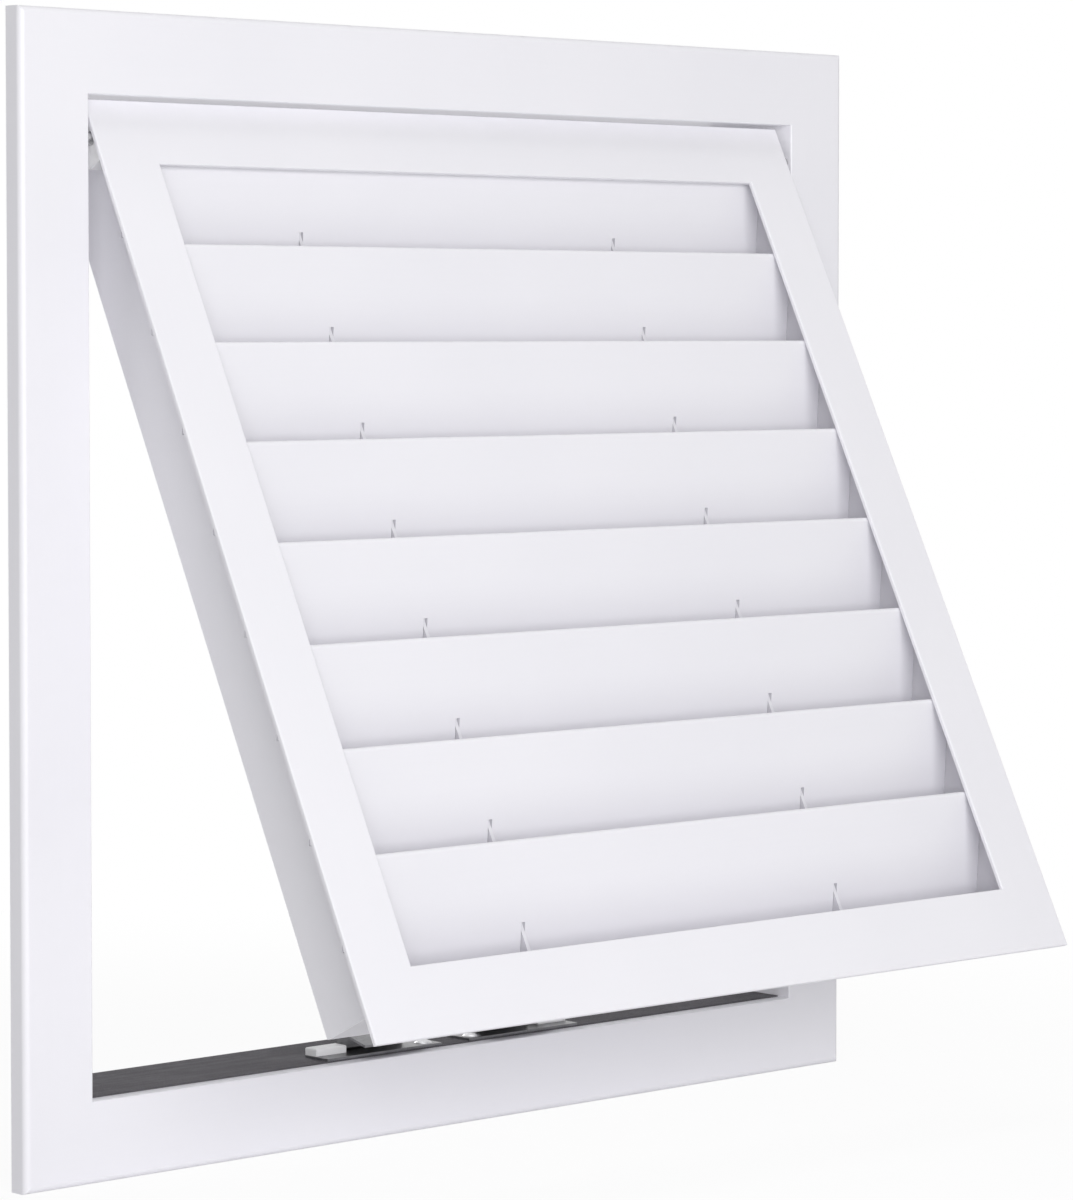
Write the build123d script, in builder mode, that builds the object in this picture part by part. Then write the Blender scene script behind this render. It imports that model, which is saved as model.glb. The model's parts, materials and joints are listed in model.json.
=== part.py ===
from build123d import *
from math import cos, radians, sin
import os

# Wall vent grille with a louvred core that swings out on a top hinge.
# Millimetres, +Z up, +Y into the wall. The origin is the centre of the wall
# cut-out, in the plane of the wall. The core is modelled standing open.

# Fixed frame: face flange, rim that meets the wall, collar that enters the cut-out
face_width = 350.0
face_height = 350.0
face_depth = 7.0
flange_width = 25.0
frame_wall = 1.4
collar_depth = 38.8
face_edge_radius = 2.0
mouth_edge_radius = 0.5

# Corner keys that join the frame's mitres, and the channel they slide in
key_width = 10.4
key_thickness = 2.0
key_leg = 34.0
key_play = 0.2
channel_inset = 5.5
channel_wall = 1.2
channel_lip = 1.6

# Screw holes through the side collars
fixing_hole_radius = 2.25
fixing_spacing = 200.0
fixing_edge = 6.0

# Swinging core: face flange with one web behind it
core_side_gap = 2.2
core_top_gap = 1.5
core_bottom_gap = 0.5
core_flange = 21.3
core_wall = 1.3
core_edge_radius = 0.5
web_inset = 12.0
filter_room = 12.0

# Hinge: pins near the core's top edge
open_angle = 26.3
pivot_below_top = 11.5
pivot_behind_face = 3.6
pin_radius = 1.75
pin_running_clearance = 0.05
pin_seat_clearance = 0.02
pin_seat = 8.0
pin_shoulder = 0.45
pin_end_play = 0.2
pin_overrun = 1.6
pin_tip_chamfer = 0.5
block_height = 16.0
block_depth = 8.0
block_setback = 1.0
block_edge_radius = 1.2

# Louvre blades: front edge high, back edge low
blade_pitch = 32.55
blade_angle = 29.5
blade_chord = 38.0
blade_thickness = 1.3
blade_bead_radius = 1.15
blade_clearance = 0.15
blade_head_gap = 1.1
tenon_width = 14.0
tenon_recess = 0.2
tenon_clearance = 0.1

# Tie bars that run behind the blades, through a notch in each
tie_spread = 134.0
tie_thickness = 1.3
tie_depth = 8.0
tie_notch = 14.5
tie_clearance = 0.15

# Angle cleats inside the core's corners
cleat_leg = 22.0
cleat_thickness = 1.6
cleat_height = 8.0
cleat_setback = 1.0

# Seal strip on the bottom collar
seal_thickness = 0.5
seal_front = 5.0
seal_margin = 0.5

# Spring catches on the bottom collar
catch_inner_edge = 6.0
catch_length = 48.0
catch_front = 5.0
catch_back = 16.0
catch_metal = 0.8
catch_rivet_inset = 4.5
catch_rivet_depth = 9.0
leaf_inset = 8.0
leaf_pad_gap = 0.5
leaf_height = 7.5
leaf_nose_height = 4.0
leaf_reach = 2.0
leaf_bend = 1.6
pad_width = 12.5
pad_depth = 5.3
pad_height = 2.5
pad_edge_radius = 0.6
rivet_radius = 1.6
rivet_clearance = 0.05
rivet_head_radius = 3.0
rivet_head_height = 1.1
rivet_tail_radius = 2.4
rivet_tail_height = 0.8

# Sizes that follow from those above
opening_width = face_width - 2 * flange_width
opening_height = face_height - 2 * flange_width
core_width = opening_width - 2 * core_side_gap
core_height = opening_height - core_top_gap - core_bottom_gap
web_half = core_width / 2 - web_inset
web_inner = web_half - core_wall
web_top = web_inset + core_wall
web_bottom = core_height - web_top
bead_depth = core_wall + blade_bead_radius + blade_clearance
first_blade = web_top + blade_bead_radius + blade_head_gap
blade_drop = blade_chord * cos(radians(blade_angle))
blade_back = bead_depth + blade_chord * sin(radians(blade_angle))
blade_skin = blade_thickness / 2 * cos(radians(blade_angle))
core_depth = blade_back + filter_room
blade_count = int((web_bottom - first_blade - blade_drop - blade_thickness) / blade_pitch) + 1
tie_front = blade_back - tie_notch * sin(radians(blade_angle)) + blade_skin + tie_clearance
channel_width = key_width + 2 * key_play
channel_depth = key_thickness + key_play
floor = -opening_height / 2
catch_base = floor + seal_thickness
catch_top = catch_base + catch_metal
leaf_width = catch_length - leaf_inset - leaf_pad_gap - pad_width
block_outer = core_width / 2 - block_setback

# The frame's face plane: x right, y up, z out of the wall
face = Plane(origin=(0, -face_depth, 0), x_dir=(1, 0, 0), z_dir=(0, -1, 0))

# The core's plane, with its origin on the pivot axis and turned by the open angle
pivot_y = pivot_behind_face - face_depth
pivot_z = opening_height / 2 - core_top_gap - pivot_below_top
swing = radians(open_angle)
core = Plane(origin=(0, pivot_y, pivot_z), x_dir=(1, 0, 0), z_dir=(0, -cos(swing), sin(swing)))
core_centre = core.from_local_coords((0, pivot_below_top - core_height / 2, pivot_behind_face))
core_face = Plane(origin=core_centre, x_dir=core.x_dir, z_dir=core.z_dir)
top_edge = core.from_local_coords((0, pivot_below_top, pivot_behind_face))
# Section through the core: x down the face from its top edge, y back from the face
core_section = Plane(origin=top_edge, x_dir=core.y_dir * -1, z_dir=core.x_dir)

sides = {
    "top": ((0, 1), opening_width, opening_height, core_width, core_height),
    "bottom": ((0, -1), opening_width, opening_height, core_width, core_height),
    "left": ((-1, 0), opening_height, opening_width, core_height, core_width),
    "right": ((1, 0), opening_height, opening_width, core_height, core_width),
}


def save(builder, name):
    builder.part.label = name
    export_step(builder.part, f"parts/{name}.step")


def rail_plane(plane, outward, reach):
    """Section plane across a rail: x runs outward in the face, y runs back from it."""
    out = plane.x_dir * outward[0] + plane.y_dir * outward[1]
    return Plane(origin=plane.origin + out * reach, x_dir=out, z_dir=out.cross(plane.z_dir * -1))


def mitre(section, half_length):
    """Trim both ends of the rail under way to the corners' 45 degree planes."""
    for end in (-1, 1):
        along = section.z_dir * end
        corner = Plane(origin=section.origin + along * half_length, z_dir=along - section.x_dir)
        split(bisect_by=corner, keep=Keep.BOTTOM)


def side_collar(side, depth, height):
    """Plane on the inner face of a side collar, facing into the opening."""
    return Plane(origin=(side * opening_width / 2, depth - face_depth, height), x_dir=(0, 1, 0),
                 z_dir=(-side, 0, 0))


def frame_rail(name, outward, length, span):
    """One mitred extrusion: flange, rim, collar and the channel for the corner keys."""
    section = rail_plane(face, outward, span / 2)
    with BuildPart() as rail:
        with BuildSketch(section) as profile:
            with BuildLine():
                Polyline(
                    (0, 0),
                    (flange_width, 0),
                    (flange_width, face_depth),
                    (flange_width - frame_wall, face_depth),
                    (flange_width - frame_wall, frame_wall),
                    (frame_wall, frame_wall),
                    (frame_wall, collar_depth),
                    (0, collar_depth),
                    close=True,
                )
            make_face()
            rib = channel_depth + channel_wall
            for edge, hook in ((channel_inset, 1), (channel_inset + channel_width, -1)):
                foot = edge - channel_wall * (1 + hook) / 2
                with Locations((foot, frame_wall)):
                    Rectangle(channel_wall, rib, align=Align.MIN)
                lip = edge if hook > 0 else edge - channel_lip
                with Locations((lip, frame_wall + channel_depth)):
                    Rectangle(channel_lip, channel_wall, align=Align.MIN)
            fillet(profile.vertices().group_by(Axis.Y)[0].sort_by(Axis.X)[-1], face_edge_radius)
            fillet(profile.vertices().group_by(Axis.Y)[0].sort_by(Axis.X)[0], mouth_edge_radius)
        extrude(amount=length / 2 + flange_width, both=True)
        mitre(section, length / 2)
        if outward[0]:
            with Locations(side_collar(outward[0], pivot_behind_face, pivot_z)):
                Hole(pin_radius + pin_running_clearance, depth=2 * frame_wall)
            with Locations(side_collar(outward[0], collar_depth - fixing_edge, 0)):
                with GridLocations(0, fixing_spacing, 1, 2):
                    Hole(fixing_hole_radius, depth=2 * frame_wall)
        if outward[1] < 0:
            with Locations(*[catch_rivet_plane(side, floor) for side in (-1, 1)]):
                Hole(rivet_radius + rivet_clearance, depth=2 * frame_wall)
    save(rail, name)


def corner_keys():
    """Four L plates lying in the channel, against the back of the flange."""
    line = channel_inset + channel_width / 2
    back = Plane(origin=face.origin - face.z_dir * frame_wall, x_dir=face.x_dir, z_dir=face.z_dir * -1)
    with BuildPart() as keys:
        with BuildSketch(back):
            for x in (-1, 1):
                for y in (-1, 1):
                    outer_x = x * (opening_width / 2 + line + key_width / 2)
                    outer_y = y * (opening_height / 2 + line + key_width / 2)
                    with Locations((outer_x - x * key_leg / 2, outer_y - y * key_width / 2)):
                        Rectangle(key_leg, key_width)
                    with Locations((outer_x - x * key_width / 2, outer_y - y * key_leg / 2)):
                        Rectangle(key_width, key_leg)
        extrude(amount=key_thickness)
    save(keys, "frame_corner_keys")


def core_rail(name, outward, length, span):
    """One mitred extrusion of T section: the face flange and the web that carries the blades."""
    section = rail_plane(core_face, outward, span / 2)
    with BuildPart() as rail:
        with BuildSketch(section) as profile:
            with Locations((-core_flange, 0)):
                Rectangle(core_flange, core_wall, align=Align.MIN)
            with Locations((-web_inset - core_wall, 0)):
                Rectangle(core_wall, core_depth, align=Align.MIN)
            fillet(profile.vertices().group_by(Axis.Y)[0], core_edge_radius)
        extrude(amount=length / 2, both=True)
        mitre(section, length / 2)
        if outward[0]:
            web = core_section.offset(outward[0] * web_inner)
            with BuildSketch(web):
                with Locations(*[Location(tenon_centre(number), blade_angle) for number in range(blade_count)]):
                    Rectangle(tenon_width + 2 * tenon_clearance, blade_thickness + 2 * tenon_clearance)
            extrude(amount=outward[0] * core_wall, mode=Mode.SUBTRACT)
    save(rail, name)


def tenon_centre(number):
    """Middle of a blade's chord, in the core's section plane."""
    half = blade_chord / 2
    down = first_blade + number * blade_pitch + half * cos(radians(blade_angle))
    return (down, bead_depth + half * sin(radians(blade_angle)))


def blade(number):
    """A louvre: flat web, front edge beaded to the back, end tenons and a notch for each tie bar."""
    nose = core_section.from_local_coords((first_blade + number * blade_pitch, bead_depth))
    lean = radians(blade_angle)
    chord = core_section.x_dir * cos(lean) + core_section.y_dir * sin(lean)
    section = Plane(origin=nose, x_dir=chord, z_dir=core_section.z_dir)
    flat = Plane(origin=nose, x_dir=section.z_dir, z_dir=section.y_dir)
    with BuildPart() as louvre:
        with BuildSketch(section):
            with Locations((blade_chord / 2, 0)):
                Rectangle(blade_chord, blade_thickness)
            with Locations((0, blade_bead_radius - blade_thickness / 2)):
                Circle(blade_bead_radius)
        extrude(amount=web_inner, both=True)
        with BuildSketch(section):
            with Locations((blade_chord / 2, 0)):
                Rectangle(tenon_width, blade_thickness)
        extrude(amount=web_inner + core_wall - tenon_recess, both=True)
        with BuildSketch(flat):
            with Locations(*[(side * tie_spread / 2, blade_chord - tie_notch / 2) for side in (-1, 1)]):
                Rectangle(tie_thickness + 2 * tie_clearance, tie_notch)
        extrude(amount=blade_thickness, both=True, mode=Mode.SUBTRACT)
    save(louvre, f"blade_{number + 1}")


def tie_bar(name, side):
    """A flat bar on edge from the top web to the bottom web."""
    with BuildPart() as bar:
        with BuildSketch(core_section.offset(side * tie_spread / 2)):
            with Locations((web_top, tie_front)):
                Rectangle(web_bottom - web_top, tie_depth, align=Align.MIN)
        extrude(amount=tie_thickness / 2, both=True)
    save(bar, name)


def corner_cleats():
    """Four angles against the inside of the core's webs, behind the blades."""
    front = core_depth - cleat_setback - cleat_height
    level = Plane(origin=core_face.origin - core_face.z_dir * front, x_dir=core_face.x_dir,
                  z_dir=core_face.z_dir * -1)
    half_height = core_height / 2 - web_top
    with BuildPart() as cleats:
        with BuildSketch(level):
            for x in (-1, 1):
                for y in (-1, 1):
                    corner_x = x * web_inner
                    corner_y = y * half_height
                    with Locations((corner_x - x * cleat_leg / 2, corner_y - y * cleat_thickness / 2)):
                        Rectangle(cleat_leg, cleat_thickness)
                    with Locations((corner_x - x * cleat_thickness / 2, corner_y - y * cleat_leg / 2)):
                        Rectangle(cleat_thickness, cleat_leg)
        extrude(amount=cleat_height)
    save(cleats, "core_corner_cleats")


def pivot_block(name, side):
    """A block in the pocket behind the core's top corner, with a blind seat for the pin."""
    width = block_outer - web_half
    middle = side * (web_half + width / 2)
    seat = Plane(origin=core.from_local_coords((middle, 0, pivot_behind_face - core_wall)),
                 x_dir=core.x_dir, z_dir=core.z_dir * -1)
    mouth = Plane(origin=core.from_local_coords((side * block_outer, 0, 0)), x_dir=core.y_dir,
                  z_dir=core.x_dir * side)
    with BuildPart() as block:
        with BuildSketch(seat):
            Rectangle(width, block_height)
        extrude(amount=block_depth)
        back = block.faces().sort_by(Axis(seat.origin, seat.z_dir))[-1]
        fillet(back.edges(), block_edge_radius)
        with Locations(mouth):
            Hole(pin_radius + pin_seat_clearance, depth=pin_seat)
    save(block, name)


def hinge_pin(name, side):
    """A turned pin: seat in the block, shoulder in the gap, tip through the side collar."""
    axis_plane = Plane(origin=core.origin, x_dir=core.x_dir * side, z_dir=core.z_dir)
    shoulder_end = opening_width / 2 - pin_end_play
    tip_end = opening_width / 2 + frame_wall + pin_overrun
    with BuildPart() as pin:
        with BuildSketch(axis_plane):
            with BuildLine():
                Polyline(
                    (block_outer - pin_seat, 0),
                    (block_outer - pin_seat, pin_radius),
                    (block_outer, pin_radius),
                    (block_outer, pin_radius + pin_shoulder),
                    (shoulder_end, pin_radius + pin_shoulder),
                    (shoulder_end, pin_radius),
                    (tip_end - pin_tip_chamfer, pin_radius),
                    (tip_end, pin_radius - pin_tip_chamfer),
                    (tip_end, 0),
                    close=True,
                )
            make_face()
        revolve(axis=Axis(axis_plane.origin, axis_plane.x_dir))
    save(pin, name)


def catch_rivet_plane(side, height):
    """Plane across a catch's rivet at a height above the collar's floor, facing up."""
    x = side * (catch_inner_edge + catch_rivet_inset)
    return Plane(origin=(x, catch_rivet_depth - face_depth, height))


def sill_seal():
    """A thin strip on the floor of the bottom collar, behind the core's face flange."""
    length = collar_depth - seal_front - seal_margin
    with BuildPart() as seal:
        with BuildSketch(Plane(origin=(0, seal_front - face_depth, floor))):
            Rectangle(opening_width - 2 * seal_margin, length, align=(Align.CENTER, Align.MIN))
        extrude(amount=seal_thickness)
        with Locations(*[catch_rivet_plane(side, catch_base) for side in (-1, 1)]):
            Hole(rivet_radius + rivet_clearance, depth=seal_thickness)
    save(seal, "sill_seal")


def catch_clip(name, side):
    """A folded spring clip: base strip, upright at the back and a leaf that leans forward."""
    middle = side * (catch_inner_edge + catch_length / 2)
    leaf_middle = side * (catch_inner_edge + leaf_inset + leaf_width / 2)
    profile_plane = Plane(origin=(leaf_middle, -face_depth, catch_base), x_dir=(0, 1, 0), z_dir=(1, 0, 0))
    with BuildPart() as clip:
        with BuildSketch(Plane(origin=(middle, catch_front - face_depth, catch_base))):
            Rectangle(catch_length, catch_back - catch_front, align=(Align.CENTER, Align.MIN))
        extrude(amount=catch_metal)
        with BuildSketch(profile_plane):
            with BuildLine():
                FilletPolyline(
                    (catch_front, 0),
                    (catch_back, 0),
                    (catch_back, leaf_height),
                    (leaf_reach, leaf_nose_height),
                    radius=leaf_bend,
                )
                offset(amount=catch_metal, side=Side.LEFT)
            make_face()
        extrude(amount=leaf_width / 2, both=True)
        with Locations(catch_rivet_plane(side, catch_top)):
            Hole(rivet_radius + rivet_clearance, depth=catch_metal)
    save(clip, name)


def catch_pad(name, side):
    """The moulded pad at the outer end of a catch's base strip."""
    middle = side * (catch_inner_edge + catch_length - pad_width / 2)
    with BuildPart() as pad:
        with BuildSketch(Plane(origin=(middle, catch_back - pad_depth - face_depth, catch_top))):
            Rectangle(pad_width, pad_depth, align=(Align.CENTER, Align.MIN))
        extrude(amount=pad_height)
        fillet(pad.faces().sort_by(Axis.Z)[-1].edges(), pad_edge_radius)
    save(pad, name)


def catch_rivets():
    """Two rivets that hold the catches down: domed head, shank and closed tail."""
    tail = frame_wall + seal_thickness + catch_metal
    with BuildPart() as rivets:
        for side in (-1, 1):
            head = catch_rivet_plane(side, catch_top)
            upright = Plane(origin=head.origin, x_dir=(1, 0, 0), z_dir=(0, -1, 0))
            with BuildSketch(upright):
                with BuildLine():
                    Line((0, rivet_head_height), (0, -tail - rivet_tail_height))
                    Polyline(
                        (0, -tail - rivet_tail_height),
                        (rivet_tail_radius, -tail - rivet_tail_height),
                        (rivet_tail_radius, -tail),
                        (rivet_radius, -tail),
                        (rivet_radius, 0),
                        (rivet_head_radius, 0),
                    )
                    dome = (rivet_head_radius ** 2 + rivet_head_height ** 2) / (2 * rivet_head_height)
                    RadiusArc((rivet_head_radius, 0), (0, rivet_head_height), -dome)
                make_face()
            revolve(axis=Axis(head.origin, (0, 0, 1)))
    save(rivets, "catch_rivets")


os.makedirs("parts", exist_ok=True)

for edge, (outward, length, span, core_length, core_span) in sides.items():
    frame_rail(f"frame_{edge}_rail", outward, length, span)
    core_rail(f"core_{edge}_rail", outward, core_length, core_span)
corner_keys()
corner_cleats()

for number in range(blade_count):
    blade(number)

for hand, side in (("left", -1), ("right", 1)):
    tie_bar(f"tie_bar_{hand}", side)
    pivot_block(f"pivot_block_{hand}", side)
    hinge_pin(f"hinge_pin_{hand}", side)
    catch_clip(f"catch_clip_{hand}", side)
    catch_pad(f"catch_pad_{hand}", side)

sill_seal()
catch_rivets()
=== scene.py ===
import json
import math

import bpy
import numpy as np
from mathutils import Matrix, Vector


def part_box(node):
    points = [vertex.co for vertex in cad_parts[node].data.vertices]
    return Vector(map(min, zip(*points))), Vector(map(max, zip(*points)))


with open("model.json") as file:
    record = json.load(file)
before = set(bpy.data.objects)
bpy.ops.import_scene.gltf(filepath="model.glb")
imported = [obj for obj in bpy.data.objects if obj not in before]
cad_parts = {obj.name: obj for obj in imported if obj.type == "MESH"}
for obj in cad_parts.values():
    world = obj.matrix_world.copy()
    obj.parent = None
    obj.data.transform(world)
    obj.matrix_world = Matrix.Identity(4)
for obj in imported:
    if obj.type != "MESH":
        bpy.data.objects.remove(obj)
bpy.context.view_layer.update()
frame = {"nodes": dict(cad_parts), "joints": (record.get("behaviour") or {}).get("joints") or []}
nodes = frame["nodes"]
hinge = frame["joints"][0]

# Metres in the CAD frame: +Z up, +Y into the wall, origin in the wall plane
hinge_y, hinge_z = hinge["pos_m"][1:]
open_angle = math.radians(-hinge["range_deg"][0])
floor_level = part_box("frame_bottom_rail")[0].z
web_inset = 0.012
web_wall = 0.0013
web_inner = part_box("core_top_rail")[1].x - web_inset - web_wall

# Inside of the core, where shade is painted into the coat: depths behind its face, and how square a web wall
# faces
recess_depth = (0.004, 0.019)
web_front = (-0.001, 0.002)
web_blend = 0.0008
web_facing = (0.90, 0.98)

# Camera: off to the left of the grille, tilted a little down, the rest of the framing by a small shift
image_width, image_height = 1073, 1200
focal_pixels = 4423.5
middle_pixel = 522.1
camera_place = (-0.94760, -1.05708, 0.08049)
camera_turn = math.radians(42.98)
camera_tilt = math.radians(2.5)
camera_near, camera_far = 0.01, 50
sensor = 36.0

# Light: a wide soft panel in front, weaker ones behind and overhead, and an even dome
front_width = 1.8
rear_width = 0.6
top_width = 1.2
panel_height = 0.9
panel_distance = 2.0
panel_level = 0.28
front_azimuth = math.radians(28)
front_watts = 29.5
rear_azimuth = math.radians(192)
rear_watts = 14.5
top_rise = math.radians(90)
top_watts = 12.0
dome_strength = 0.285

# Floor: pale and matt near the grille, running out to white
floor_radius = 2.6
floor_rings = 24
floor_spokes = 96
floor_crowding = 1.5
floor_fade = (0.20, 0.55)
floor_white_share = 0.93

# Colours, linear
coat_white = (0.868, 0.860, 0.898)
coat_shade = (0.838, 0.831, 0.872)
# painted shade: a greyer coat deep inside the core, and a darker coat on its web walls
painted_recess_shade = (0.690, 0.680, 0.722)
painted_web_shade = (0.600, 0.591, 0.630)
dust_grey = (0.62, 0.60, 0.59)
nylon_white = (0.90, 0.90, 0.905)
nylon_shade = (0.86, 0.86, 0.865)
foam_dark = (0.071, 0.068, 0.076)
foam_light = (0.150, 0.144, 0.158)
spring_bright = (0.27, 0.27, 0.28)
spring_dull = (0.13, 0.13, 0.14)
pin_bright = (0.62, 0.62, 0.63)
pin_dull = (0.44, 0.44, 0.45)
mill_bright = (0.54, 0.54, 0.55)
mill_dull = (0.36, 0.36, 0.38)
rivet_bright = (0.74, 0.74, 0.75)
rivet_dull = (0.55, 0.55, 0.57)
floor_shade = (0.80, 0.80, 0.81)
floor_pale = (0.84, 0.84, 0.85)
plain_white = (1, 1, 1, 1)


class Wire:
    """A shader socket: operators on it add Math nodes, and add() makes any other node."""

    def __init__(self, tree, socket=None):
        self.tree = tree
        self.socket = socket

    def add(self, kind, settings=None, sockets=None, out=0):
        """A node of that type; settings are set first, then its sockets get values or links."""
        node = self.tree.nodes.new(kind)
        for name, value in (settings or {}).items():
            setattr(node, name, value)
        for name, value in (sockets or {}).items():
            if isinstance(value, Wire):
                self.tree.links.new(value.socket, node.inputs[name])
            else:
                node.inputs[name].default_value = value
        return Wire(self.tree, node.outputs[out] if len(node.outputs) else None)

    def math(self, operation, first, second=0.0, clamp=False):
        """A Math node on one or two values."""
        settings = {"operation": operation, "use_clamp": clamp}
        return self.add("ShaderNodeMath", settings, {0: first, 1: second})

    def __add__(self, other):
        return self.math("ADD", self, other)

    def __radd__(self, other):
        return self.math("ADD", other, self)

    def __sub__(self, other):
        return self.math("SUBTRACT", self, other)

    def __rsub__(self, other):
        return self.math("SUBTRACT", other, self)

    def __mul__(self, other):
        return self.math("MULTIPLY", self, other)

    def __rmul__(self, other):
        return self.math("MULTIPLY", other, self)

    def clamped(self):
        """The value held between 0 and 1."""
        return self.math("ADD", self, 0.0, clamp=True)

    def size(self):
        """The value without its sign."""
        return self.math("ABSOLUTE", self)

    def band(self, low, high):
        """0 below low, 1 above high and a smooth step between."""
        settings = {"interpolation_type": "SMOOTHSTEP"}
        sockets = {"Value": self, "From Min": low, "From Max": high}
        return self.add("ShaderNodeMapRange", settings, sockets)

    def mixed(self, first, second):
        """Colour between first and second, by this factor."""
        colours = [(*c, 1) if isinstance(c, tuple) else c for c in (first, second)]
        sockets = {0: self, 6: colours[0], 7: colours[1]}
        return self.add("ShaderNodeMix", {"data_type": "RGBA"}, sockets, 2)

    def axes(self, names):
        """The named axes of this vector, each a value of its own."""
        return [self.add("ShaderNodeSeparateXYZ", None, {0: self}, name) for name in names]


def material(name):
    """An empty node material and the wire that starts its tree."""
    made = bpy.data.materials.new(name)
    made.use_nodes = True
    made.node_tree.nodes.clear()
    return made, Wire(made.node_tree)


def place_on(start, stretch=(1, 1, 1), turn=0.0, centre=(0, 0, 0)):
    """Object coordinates from a centre, turned about X, for a pattern stretched along the turned axes."""
    coords = start.add("ShaderNodeTexCoord", out="Object")
    sockets = {"Vector": coords, "Location": centre, "Rotation": (-turn, 0, 0), "Scale": stretch}
    return start.add("ShaderNodeMapping", {"vector_type": "TEXTURE"}, sockets)


def drawn_out(along, length):
    """The stretch of a pattern that runs along one axis."""
    return [length if axis == along else 1.0 for axis in "xyz"]


def noise(start, vector, scale, detail=2.0, roughness=0.5):
    """Soft noise around one half, with scale bumps to a metre."""
    sockets = {"Vector": vector, "Scale": scale, "Detail": detail, "Roughness": roughness}
    return start.add("ShaderNodeTexNoise", {"noise_dimensions": "3D"}, sockets)


def soft_edges(start, radius):
    """A normal rounded over the edges, and a mask that is 1 on the edges' line."""
    mask_gain = 4.0
    rounded = start.add("ShaderNodeBevel", {"samples": 2}, {"Radius": radius})
    flat = start.add("ShaderNodeNewGeometry", out="Normal")
    agree = start.add("ShaderNodeVectorMath", {"operation": "DOT_PRODUCT"}, {0: rounded, 1: flat}, "Value")
    return rounded, ((1 - agree) * mask_gain).clamped()


def raised(start, height, distance, strength, under=None):
    """A bump normal for a height in 0 to 1, over another normal."""
    sockets = {"Height": height, "Distance": distance, "Strength": strength}
    if under is not None:
        sockets["Normal"] = under
    return start.add("ShaderNodeBump", None, sockets)


def close(made, start, base, rough, normal, constants):
    """The surface: varying colour, roughness and normal, and constants on the shader's own sockets."""
    sockets = {"Base Color": base, "Roughness": rough, "Normal": normal}
    sockets.update(constants)
    surface = start.add("ShaderNodeBsdfPrincipled", None, sockets)
    start.add("ShaderNodeOutputMaterial", None, {"Surface": surface})
    return made


def recess(start):
    """Where shade is painted inside the core: how deep a point lies, 0 near the face and 1 at the blades'
    back, and a mask of the web walls."""
    across, back = place_on(start, turn=open_angle, centre=(0, hinge_y, hinge_z)).axes("XY")
    inside = 1 - across.size().band(web_inner, web_inner + web_blend)
    facing, = start.add("ShaderNodeNewGeometry", out="True Normal").axes("X")
    wall = facing.size().band(*web_facing) * inside * back.band(*web_front)
    return back.band(*recess_depth) * inside, wall


def powder_coat(name, along, turn, paints_shade_inside=False):
    """White powder coat: orange peel, faint draw lines along the extrusion, clouding and settled dust.
    On the core's inside, shade is painted into the coat: greyer with depth behind the face and darker on the
    web walls."""
    draw_scale, peel_scale, grain_scale, cloud_scale, dust_scale = 1400, 640, 2700, 13, 190
    draw_length = 50.0
    cloud_edges, dust_slope, dust_patches, dust_amount = (0.32, 0.68), (0.55, 0.95), (0.42, 0.72), 0.16
    cloud_tone, grain_tone, draw_tone, ground_tone = 0.5, 0.35, 0.2, 0.25
    cloud_rough, grain_rough, dust_rough, ground_rough = 0.10, 0.06, 1.2, 0.34
    peel_share, bump_depth, bump_strength = 0.8, 0.00006, 0.35
    made, start = material(name)
    coords = place_on(start, turn=turn)
    drawn = noise(start, place_on(start, drawn_out(along, draw_length), turn), draw_scale, 0)
    peel = noise(start, coords, peel_scale, 1, 0.55)
    grain = noise(start, coords, grain_scale, 0)
    cloud = noise(start, coords, cloud_scale, 1)
    upward, = start.add("ShaderNodeTexCoord", out="Normal").axes("Z")
    patches = noise(start, coords, dust_scale, 1, 0.65).band(*dust_patches)
    dust = upward.band(*dust_slope) * patches * dust_amount
    tone = (cloud.band(*cloud_edges) * cloud_tone + (grain - 0.5) * grain_tone
            + (drawn - 0.5) * draw_tone + ground_tone).clamped()
    coated = tone.mixed(coat_shade, coat_white)
    if paints_shade_inside:
        # painted shade: the core's inside greys with depth, and its web walls are darker
        deep, wall = recess(start)
        coated = wall.mixed(deep.mixed(coated, painted_recess_shade), painted_web_shade)
    base = dust.mixed(coated, dust_grey)
    rough = cloud * cloud_rough + grain * grain_rough + dust * dust_rough + ground_rough
    height = peel * peel_share + grain * (1 - peel_share)
    normal = raised(start, height, bump_depth, bump_strength)
    return close(made, start, base, rough, normal, {"IOR": 1.48})


def moulded_nylon(name):
    """White moulded nylon: spark-eroded grain, flow clouding and rounded edges."""
    grain_scale, flow_scale, flow_length, edge_radius = 3600, 240, 4, 0.0004
    flow_edges, flow_tone, grain_tone, edge_tone = (0.3, 0.7), 0.7, 0.4, 0.3
    grain_rough, ground_rough = 0.12, 0.42
    grain_share, bump_depth, bump_strength = 0.7, 0.00005, 0.5
    scatter_share, scatter_reach = 0.08, 0.002
    made, start = material(name)
    grain = noise(start, place_on(start), grain_scale, 2)
    flow = noise(start, place_on(start, drawn_out("x", flow_length)), flow_scale, 3)
    rounded, edge = soft_edges(start, edge_radius)
    tone = (flow.band(*flow_edges) * flow_tone + (grain - 0.5) * grain_tone + edge * edge_tone).clamped()
    height = grain * grain_share + flow * (1 - grain_share)
    normal = raised(start, height, bump_depth, bump_strength, rounded)
    base = tone.mixed(nylon_shade, nylon_white)
    constants = {"IOR": 1.53, "Subsurface Weight": scatter_share, "Subsurface Radius": (scatter_reach,) * 3}
    return close(made, start, base, grain * grain_rough + ground_rough, normal, constants)


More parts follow.
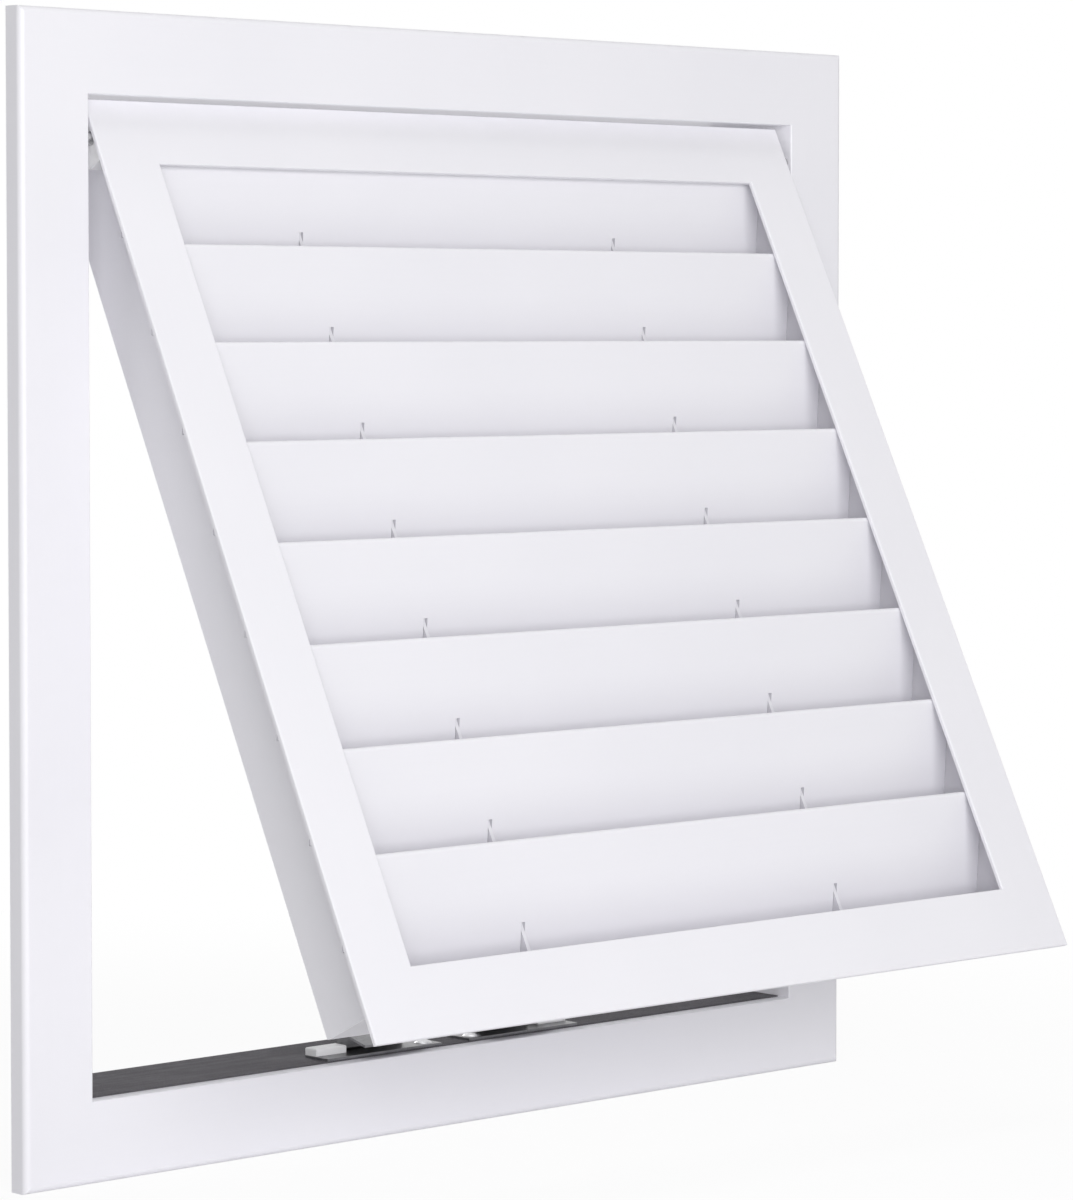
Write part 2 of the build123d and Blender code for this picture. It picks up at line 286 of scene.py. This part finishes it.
def foam_strip(name):
    """Closed-cell foam: small cells with thin walls, a dusty bloom and streaks along the strip."""
    cell_scale, bloom_scale, streak_scale, streak_length = 1250, 75, 420, 22
    wall_edges, bloom_edges, streak_edges = (0.02, 0.12), (0.35, 0.75), (0.42, 0.68)
    bloom_tone, wall_tone, cell_tone, streak_tone = 0.5, 0.3, 0.12, 0.3
    bloom_rough, ground_rough = 0.1, 0.82
    wall_share, bump_depth, bump_strength = 0.8, 0.00025, 0.8
    made, start = material(name)
    coords = place_on(start)
    cells, gaps = [start.add("ShaderNodeTexVoronoi", {"feature": feature},
                             {"Vector": coords, "Scale": cell_scale}, "Distance")
                   for feature in ("F1", "DISTANCE_TO_EDGE")]
    walls = gaps.band(*wall_edges)
    bloom = noise(start, coords, bloom_scale, 4, 0.6)
    streaks = noise(start, place_on(start, drawn_out("x", streak_length)), streak_scale, 2, 0.6)
    tone = (bloom.band(*bloom_edges) * bloom_tone + (1 - walls) * wall_tone + cells * cell_tone
            + streaks.band(*streak_edges) * streak_tone).clamped()
    height = 1 - walls * wall_share - cells * (1 - wall_share)
    normal = raised(start, height, bump_depth, bump_strength)
    base = tone.mixed(foam_dark, foam_light)
    return close(made, start, base, bloom * bloom_rough + ground_rough, normal, {"IOR": 1.4})


def brushed(name, along, bright, dull, rough, fineness):
    """Bare metal drawn or brushed along one axis: fine lines, a few scratches and clouded oxide."""
    line_length, oxide_scale, scratch_scale, edge_radius = 80.0, 210, 1500, 0.00022
    scratch_run, scratch_turn, scratch_edges, oxide_edges = (1, 16, 2.5), 0.6, (0.66, 0.72), (0.3, 0.7)
    line_tone, oxide_tone, edge_tone, scratch_tone = 0.55, 0.5, 0.3, 0.15
    oxide_rough, scratch_rough = 0.14, 0.12
    line_share, scratch_share, bump_depth, bump_strength = 0.8, 0.4, 0.00004, 0.45
    made, start = material(name)
    lines = noise(start, place_on(start, drawn_out(along, line_length)), fineness, 3, 0.6)
    oxide = noise(start, place_on(start), oxide_scale, 4, 0.6)
    scratch = noise(start, place_on(start, scratch_run, scratch_turn), scratch_scale, 1).band(*scratch_edges)
    rounded, edge = soft_edges(start, edge_radius)
    tone = (lines * line_tone + oxide.band(*oxide_edges) * oxide_tone + edge * edge_tone
            - scratch * scratch_tone).clamped()
    height = lines * line_share - scratch * scratch_share
    normal = raised(start, height, bump_depth, bump_strength, rounded)
    roughness = oxide * oxide_rough + scratch * scratch_rough + rough
    return close(made, start, tone.mixed(dull, bright), roughness, normal, {"Metallic": 1.0})


def turned_steel(name):
    """Turned pin: rings round the X axis from the tool, and a little grease."""
    ring_scale, ring_length, grease_scale, edge_radius = 5200, 30, 420, 0.00018
    ring_tone, edge_tone, grease_tone = 0.6, 0.4, 0.4
    grease_rough, ground_rough = 0.18, 0.2
    bump_depth, bump_strength = 0.00003, 0.5
    made, start = material(name)
    rings = noise(start, place_on(start, (1, ring_length, ring_length)), ring_scale, 2)
    grease = noise(start, place_on(start), grease_scale, 3)
    rounded, edge = soft_edges(start, edge_radius)
    tone = (rings * ring_tone + edge * edge_tone + (grease - 0.5) * grease_tone).clamped()
    normal = raised(start, rings, bump_depth, bump_strength, rounded)
    base = tone.mixed(pin_dull, pin_bright)
    return close(made, start, base, grease * grease_rough + ground_rough, normal, {"Metallic": 1.0})


def blind_rivet(name):
    """Drawn rivet head: a dimple where the mandrel broke, darkened by painted shade, a pressed ring and fine
    pitting.
    """
    dimple_edge, ring_inner, ring_outer = (0.20, 0.30), (0.30, 0.40), (0.44, 0.54)
    pit_scale, edge_radius = 2600, 0.0002
    pit_tone, ground_tone, edge_tone, dimple_shade_tone = 0.6, 0.25, 0.2, 0.7
    pit_rough, ground_rough = 0.15, 0.3
    pit_share, ring_share, dimple_share, bump_depth, bump_strength = 0.12, 0.3, 0.8, 0.00025, 0.6
    low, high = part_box("catch_rivets")
    head_radius = (high.y - low.y) / 2
    axis_x = high.x - head_radius
    axis_y = (high.y + low.y) / 2
    made, start = material(name)
    side, back = place_on(start).axes("XY")
    across = side.size() - axis_x
    deep = back - axis_y
    reach = start.math("SQRT", across * across + deep * deep) * (1 / head_radius)
    dimple = 1 - reach.band(*dimple_edge)
    ring = reach.band(*ring_inner) * (1 - reach.band(*ring_outer))
    pits = noise(start, place_on(start), pit_scale, 3, 0.6)
    rounded, edge = soft_edges(start, edge_radius)
    # painted shade: the colour darkens in the mandrel dimple
    tone = (pits * pit_tone + ground_tone + edge * edge_tone - dimple * dimple_shade_tone).clamped()
    height = pits * pit_share + ring * ring_share - dimple * dimple_share
    normal = raised(start, height, bump_depth, bump_strength, rounded)
    base = tone.mixed(rivet_dull, rivet_bright)
    return close(made, start, base, pits * pit_rough + ground_rough, normal, {"Metallic": 1.0})


def seen_plainly(start):
    """1 for the rays that show the background: from the camera, off a gloss or through glass."""
    camera, glossy, through = [start.add("ShaderNodeLightPath", out=ray)
                               for ray in ("Is Camera Ray", "Is Glossy Ray", "Is Transmission Ray")]
    return (camera + glossy + through).clamped()


def studio_floor(name):
    """Pale matt floor that keeps the shadow near the grille and runs out to white for the camera."""
    speckle_scale, matt_roughness = 60, 0.6
    made, start = material(name)
    across, back = place_on(start).axes("XY")
    reach = start.math("SQRT", across * across + back * back)
    share = reach.band(*floor_fade) * (1 - floor_white_share) + floor_white_share
    colour = noise(start, place_on(start), speckle_scale, 0).mixed(floor_shade, floor_pale)
    matt = start.add("ShaderNodeBsdfDiffuse", None, {"Color": colour, "Roughness": matt_roughness})
    white = start.add("ShaderNodeEmission", None, {"Color": plain_white, "Strength": 1.0})
    surface = start.add("ShaderNodeMixShader", None, {0: seen_plainly(start) * share, 1: matt, 2: white})
    start.add("ShaderNodeOutputMaterial", None, {"Surface": surface})
    made.cycles.emission_sampling = "NONE"
    return made


def grid_mesh(name, points):
    """A mesh on a grid of points, rows by columns, with the last column joined to the first."""
    rows, columns = points.shape[:2]
    index = np.arange(rows * columns).reshape(rows, columns)
    index = np.concatenate([index, index[:, :1]], axis=1)
    corners = [index[:-1, :-1], index[:-1, 1:], index[1:, 1:], index[1:, :-1]]
    quads = np.stack(corners, axis=-1).reshape(-1, 4)
    mesh = bpy.data.meshes.new(name)
    mesh.from_pydata(points.reshape(-1, 3).tolist(), [], quads.tolist())
    mesh.update()
    made = bpy.data.objects.new(name, mesh)
    bpy.context.scene.collection.objects.link(made)
    return made


def lay_floor():
    """A disc: circles of growing radius about the Z axis, at the level of the frame's lower edge."""
    radius = np.linspace(0.0, 1.0, floor_rings) ** floor_crowding * floor_radius
    angle = np.linspace(0.0, -2 * np.pi, floor_spokes, endpoint=False)
    level = np.full((floor_rings, floor_spokes), floor_level)
    points = np.stack([np.outer(radius, np.cos(angle)), np.outer(radius, np.sin(angle)), level], axis=-1)
    disc = grid_mesh("studio_floor", points)
    disc.data.materials.append(studio_floor("floor_pale"))


def light_dome():
    """Even light from all round for the grille; plain white where the camera sees past it."""
    world = bpy.data.worlds.new("studio_dome")
    bpy.context.scene.world = world
    world.use_nodes = True
    world.cycles.sampling_method = "NONE"
    world.node_tree.nodes.clear()
    start = Wire(world.node_tree)
    even, white = [start.add("ShaderNodeBackground", None, {"Color": plain_white, "Strength": strength})
                   for strength in (dome_strength, 1.0)]
    surface = start.add("ShaderNodeMixShader", None, {0: seen_plainly(start), 1: even, 2: white})
    start.add("ShaderNodeOutputWorld", None, {"Surface": surface})


def light_panel(name, azimuth, rise, width, watts):
    """A soft panel facing the grille, turned about it from straight in front to the left, then raised."""
    lamp = bpy.data.lights.new(name, "AREA")
    lamp.shape = "RECTANGLE"
    lamp.size = width
    lamp.size_y = panel_height
    lamp.energy = watts
    made = bpy.data.objects.new(name, lamp)
    out, up = panel_distance * math.cos(rise), panel_distance * math.sin(rise)
    made.location = (-out * math.sin(azimuth), -out * math.cos(azimuth), panel_level + up)
    made.rotation_euler = (math.pi / 2 - rise, 0, -azimuth)
    bpy.context.scene.collection.objects.link(made)


def set_camera():
    """A camera with the photograph's focal length; the shift puts the lens axis on its line."""
    lens = bpy.data.cameras.new("product_camera")
    lens.sensor_width = sensor
    lens.sensor_fit = "AUTO"
    longest = max(image_width, image_height)
    lens.lens = focal_pixels / longest * sensor
    lens.shift_y = (middle_pixel - image_height / 2) / longest
    lens.clip_start = camera_near
    lens.clip_end = camera_far
    made = bpy.data.objects.new("product_camera", lens)
    made.location = camera_place
    made.rotation_euler = (math.pi / 2 - camera_tilt, 0, -camera_turn)
    bpy.context.scene.collection.objects.link(made)
    bpy.context.scene.camera = made


def dress(name, finish):
    """Give a CAD node its finish."""
    slots = nodes[name].data.materials
    slots.clear()
    slots.append(finish)


def dress_grille():
    """The finish of every node: coats follow the way their rail was drawn, the rest goes by its kind."""
    frame_level = powder_coat("frame_coat_level", "x", 0.0)
    frame_upright = powder_coat("frame_coat_upright", "z", 0.0)
    core_level = powder_coat("core_coat_level", "x", open_angle, paints_shade_inside=True)
    core_upright = powder_coat("core_coat_upright", "z", open_angle, paints_shade_inside=True)
    nylon = moulded_nylon("white_nylon")
    spring = brushed("spring_steel", "x", spring_bright, spring_dull, rough=0.26, fineness=2400)
    mill = brushed("mill_metal", "x", mill_bright, mill_dull, rough=0.34, fineness=1500)
    kinds = {
        "frame_top": frame_level, "frame_bottom": frame_level,
        "frame_left": frame_upright, "frame_right": frame_upright,
        "core_top": core_level, "core_bottom": core_level,
        "core_left": core_upright, "core_right": core_upright,
        "blade": core_level, "tie_bar": core_upright,
        "frame_corner_keys": mill, "core_corner_cleats": mill,
        "pivot_block": nylon, "catch_pad": nylon, "catch_clip": spring,
        "hinge_pin": turned_steel("pin_steel"),
        "sill_seal": foam_strip("seal_foam"),
        "catch_rivets": blind_rivet("rivet_metal"),
    }
    for kind, finish in kinds.items():
        for name in nodes:
            if name.startswith(kind):
                dress(name, finish)


dress_grille()
lay_floor()
light_dome()
light_panel("front_panel", front_azimuth, 0.0, front_width, front_watts)
light_panel("rear_panel", rear_azimuth, 0.0, rear_width, rear_watts)
light_panel("top_panel", 0.0, top_rise, top_width, top_watts)
set_camera()
bpy.context.scene.view_settings.view_transform = "Standard"
